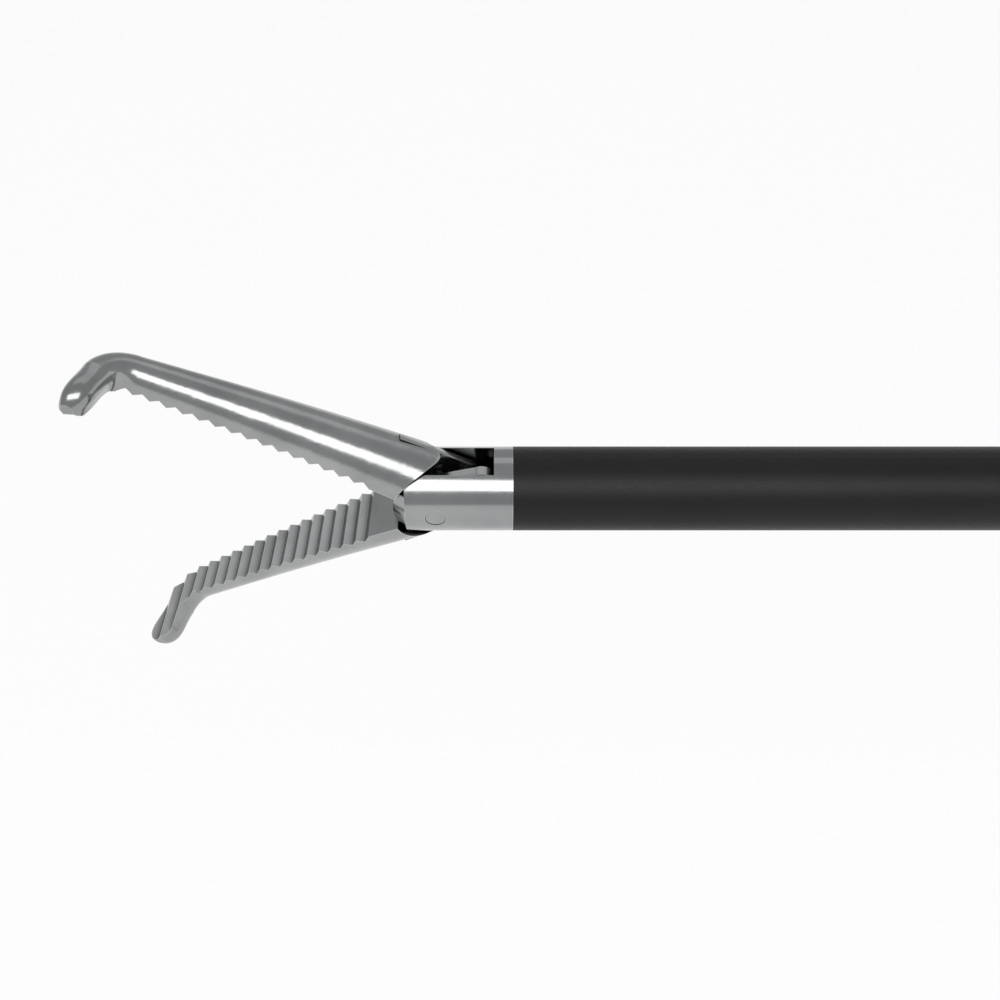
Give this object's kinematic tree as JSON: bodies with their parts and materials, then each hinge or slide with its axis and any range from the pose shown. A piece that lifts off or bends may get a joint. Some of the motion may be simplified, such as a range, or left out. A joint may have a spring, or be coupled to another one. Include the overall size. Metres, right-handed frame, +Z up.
{
  "type": "laparoscopic grasper",
  "caption": "Hand instrument with right-angled toothed grasping jaws on a slim insulated shaft, worked by a ring handle with a thumb lever, turning knob and ratchet",
  "frame": {"origin": "on the shaft axis where the black insulation sleeve starts, right behind the clevis", "axes": "+X along the shaft towards the handle, jaws towards -X; +Z up, the handle's rings hang towards -Z; jaw tips bend towards -Y"},
  "size_m": [0.4386, 0.026, 0.1328],
  "materials": {
    "jaw_steel": "satin polished",
    "shaft_steel": "polished",
    "sleeve_black": "smooth semi-matt",
    "handle_plastic": "moulded, fine grain",
    "knob_plastic": "moulded",
    "small_steel": "bright",
    "bush_plastic": "natural",
    "seal_rubber": "matt",
    "cap_rubber": "matt",
    "contact_brass": "bright"
  },
  "bodies": {
    "handle": {"handle_left": "handle_plastic", "handle_right": "handle_plastic", "housing_screws": "small_steel", "lever_pivot_screw": "small_steel", "lever_pivot_nut": "small_steel", "lever_washers": "bush_plastic", "hub_bush": "bush_plastic", "electrode_post": "small_steel", "contact_leaf": "contact_brass", "ratchet_pin": "small_steel", "ratchet_spring": "small_steel"},
    "shaft": {"clevis": "shaft_steel", "jaw_pivot_pin": "small_steel", "shaft_tube": "shaft_steel", "insulation_sleeve": "sleeve_black", "shaft_hub": "shaft_steel", "hub_clip": "small_steel", "rod_seal": "seal_rubber", "rotation_knob": "knob_plastic", "knob_set_screw": "small_steel", "flush_port": "small_steel", "flush_cap": "cap_rubber"},
    "upper_jaw_body": {"upper_jaw": "jaw_steel"},
    "lower_jaw_body": {"lower_jaw": "jaw_steel"},
    "rod": {"push_rod": "shaft_steel", "drive_pin": "small_steel", "rod_spool": "small_steel", "spool_lock_nut": "small_steel"},
    "lever": {"thumb_lever": "handle_plastic", "rack_pin": "small_steel", "ratchet_rack": "small_steel"},
    "ratchet": {"ratchet_lever": "handle_plastic"}
  },
  "joints": [
    {"name": "knob_turn", "type": "hinge", "parent": "handle", "child": "shaft", "pos_m": [0.34, 0, 0], "axis": [1, 0, 0], "continuous": true},
    {"name": "lever_squeeze", "type": "hinge", "parent": "handle", "child": "lever", "pos_m": [0.368, 0, -0.008], "axis": [0, 1, 0], "range_deg": [-1.07, 9.67]},
    {"name": "rod_slide", "type": "slide", "parent": "shaft", "child": "rod", "axis": [1, 0, 0], "range_m": [-0.00015, 0.00135]},
    {"name": "upper_jaw_open", "type": "hinge", "parent": "shaft", "child": "upper_jaw_body", "pos_m": [-0.0045, 0, 0], "axis": [0, 1, 0], "range_deg": [-27, 3]},
    {"name": "lower_jaw_open", "type": "hinge", "parent": "shaft", "child": "lower_jaw_body", "pos_m": [-0.0045, 0, 0], "axis": [0, -1, 0], "range_deg": [-27, 3]},
    {"name": "ratchet_press", "type": "hinge", "parent": "handle", "child": "ratchet", "pos_m": [0.34378, 0, -0.03772], "axis": [0, -1, 0], "range_deg": [0, 8], "stiffness_Nm_per_rad": 0.01}
  ],
  "couplings": [
    {"joint": "rod_slide", "follows": "lever_squeeze", "m_per_rad": 0.008},
    {"joint": "upper_jaw_open", "follows": "lever_squeeze", "ratio": -2.7925},
    {"joint": "lower_jaw_open", "follows": "lever_squeeze", "ratio": -2.7925}
  ]
}
